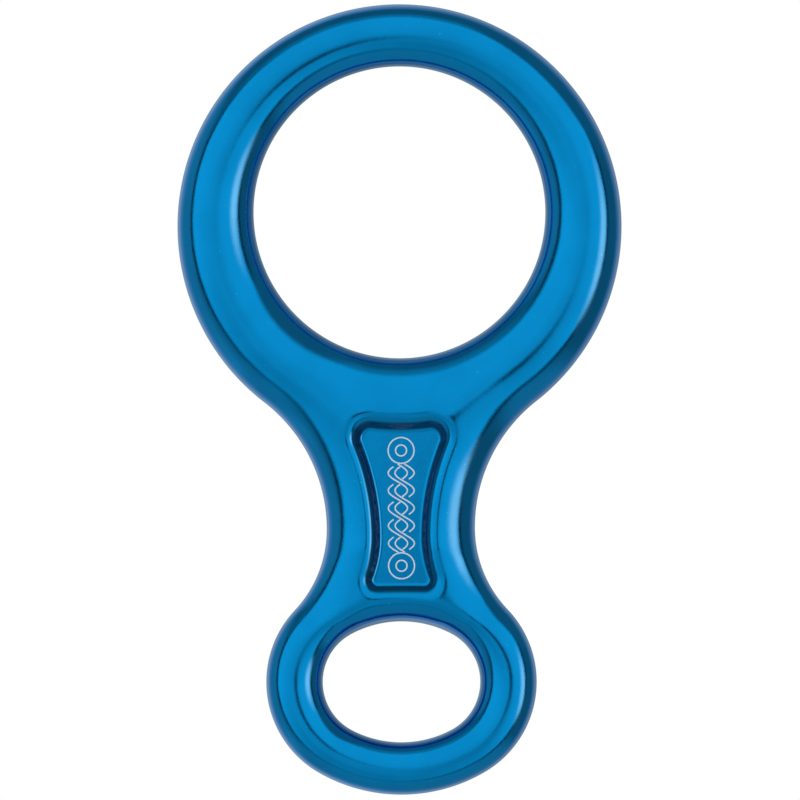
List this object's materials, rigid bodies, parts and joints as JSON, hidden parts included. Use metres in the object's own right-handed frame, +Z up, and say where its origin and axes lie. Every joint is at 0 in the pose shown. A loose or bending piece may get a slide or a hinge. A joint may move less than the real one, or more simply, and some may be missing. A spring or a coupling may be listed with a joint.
{
  "type": "rope descender",
  "caption": "Figure-eight rope descender: a forged, blue anodised aluminium body with a large rope eye, a waisted neck with a shallow pocket, and an oval carabiner eye.",
  "frame": {"origin": "centre of the large rope eye, on the mid-plane of the forging", "axes": "+Z up along the body, from the carabiner eye to the rope eye; +Y through the thickness, with the front face towards -Y; +X to the right seen from the front"},
  "size_m": [0.0814, 0.0128, 0.1449],
  "materials": {
    "anodised_blue": "polished, bright blue anodised"
  },
  "bodies": {
    "root": {"figure_eight_body": "anodised_blue"}
  },
  "joints": []
}
